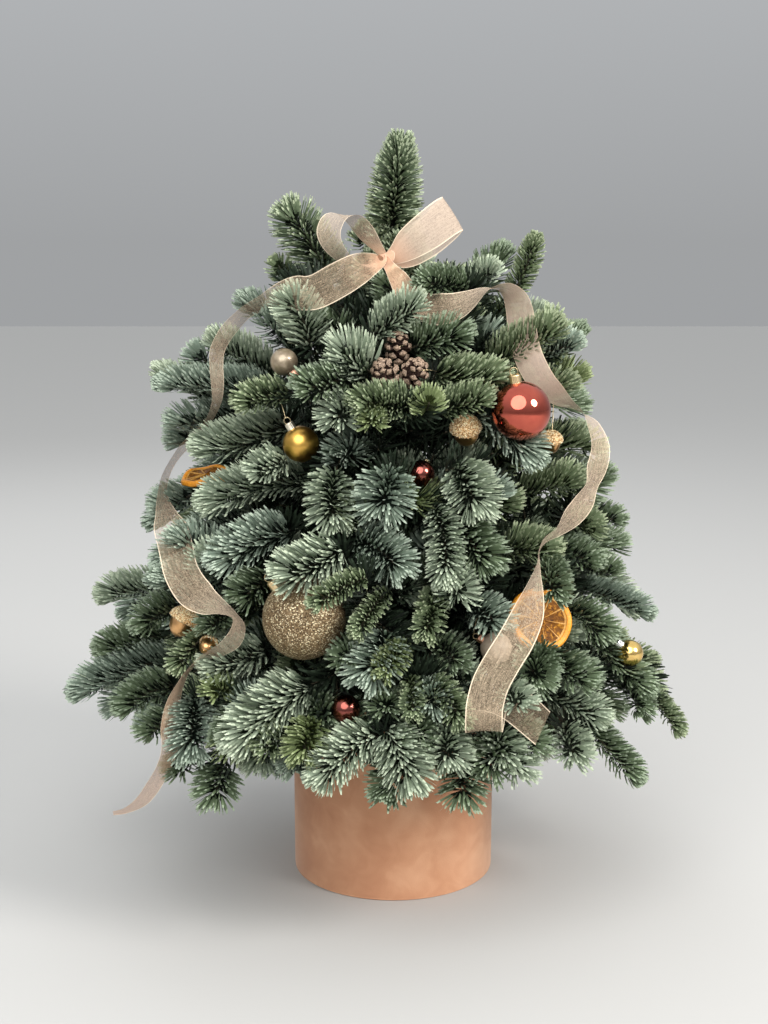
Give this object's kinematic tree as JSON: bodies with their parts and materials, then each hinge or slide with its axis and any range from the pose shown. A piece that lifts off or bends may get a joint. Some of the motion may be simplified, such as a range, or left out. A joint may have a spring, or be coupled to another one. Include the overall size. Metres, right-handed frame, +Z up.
{
  "type": "potted noble fir christmas tree",
  "caption": "Small full christmas tree of noble fir boughs on a short trunk, standing in foam in a round velvet covered pot.",
  "frame": {"origin": "centre of the flat underside of the pot", "axes": "+Z up along the pot, -Y towards the viewer of the tree's front, +X to that viewer's right"},
  "size_m": [0.4767, 0.4435, 0.5865],
  "materials": {
    "velvet": "matte velvet",
    "foam": "wet open-cell foam",
    "bark": "rough bark",
    "needles": "waxy satin"
  },
  "bodies": {
    "root": {"pot": "velvet", "foam": "foam", "trunk": "bark", "bough_skirt_1": "bark", "bough_skirt_2": "bark", "bough_skirt_3": "bark", "bough_skirt_4": "bark", "bough_skirt_5": "bark", "bough_skirt_6": "bark", "bough_skirt_7": "bark", "bough_low_1": "bark", "bough_low_2": "bark", "bough_low_3": "bark", "bough_low_4": "bark", "bough_low_5": "bark", "bough_middle_1": "bark", "bough_middle_2": "bark", "bough_middle_3": "bark", "bough_middle_4": "bark", "bough_middle_5": "bark", "bough_waist_1": "bark", "bough_waist_2": "bark", "bough_waist_3": "bark", "bough_waist_4": "bark", "bough_upper_1": "bark", "bough_upper_2": "bark", "bough_upper_3": "bark", "bough_upper_4": "bark", "bough_shoulder_1": "bark", "bough_shoulder_2": "bark", "bough_shoulder_3": "bark", "needles_skirt_1": "needles", "needles_skirt_2": "needles", "needles_skirt_3": "needles", "needles_skirt_4": "needles", "needles_skirt_5": "needles", "needles_skirt_6": "needles", "needles_skirt_7": "needles", "needles_low_1": "needles", "needles_low_2": "needles", "needles_low_3": "needles", "needles_low_4": "needles", "needles_low_5": "needles", "needles_middle_1": "needles", "needles_middle_2": "needles", "needles_middle_3": "needles", "needles_middle_4": "needles", "needles_middle_5": "needles", "needles_waist_1": "needles", "needles_waist_2": "needles", "needles_waist_3": "needles", "needles_waist_4": "needles", "needles_upper_1": "needles", "needles_upper_2": "needles", "needles_upper_3": "needles", "needles_upper_4": "needles", "needles_shoulder_1": "needles", "needles_shoulder_2": "needles", "needles_shoulder_3": "needles", "needles_leader": "needles"}
  },
  "joints": []
}
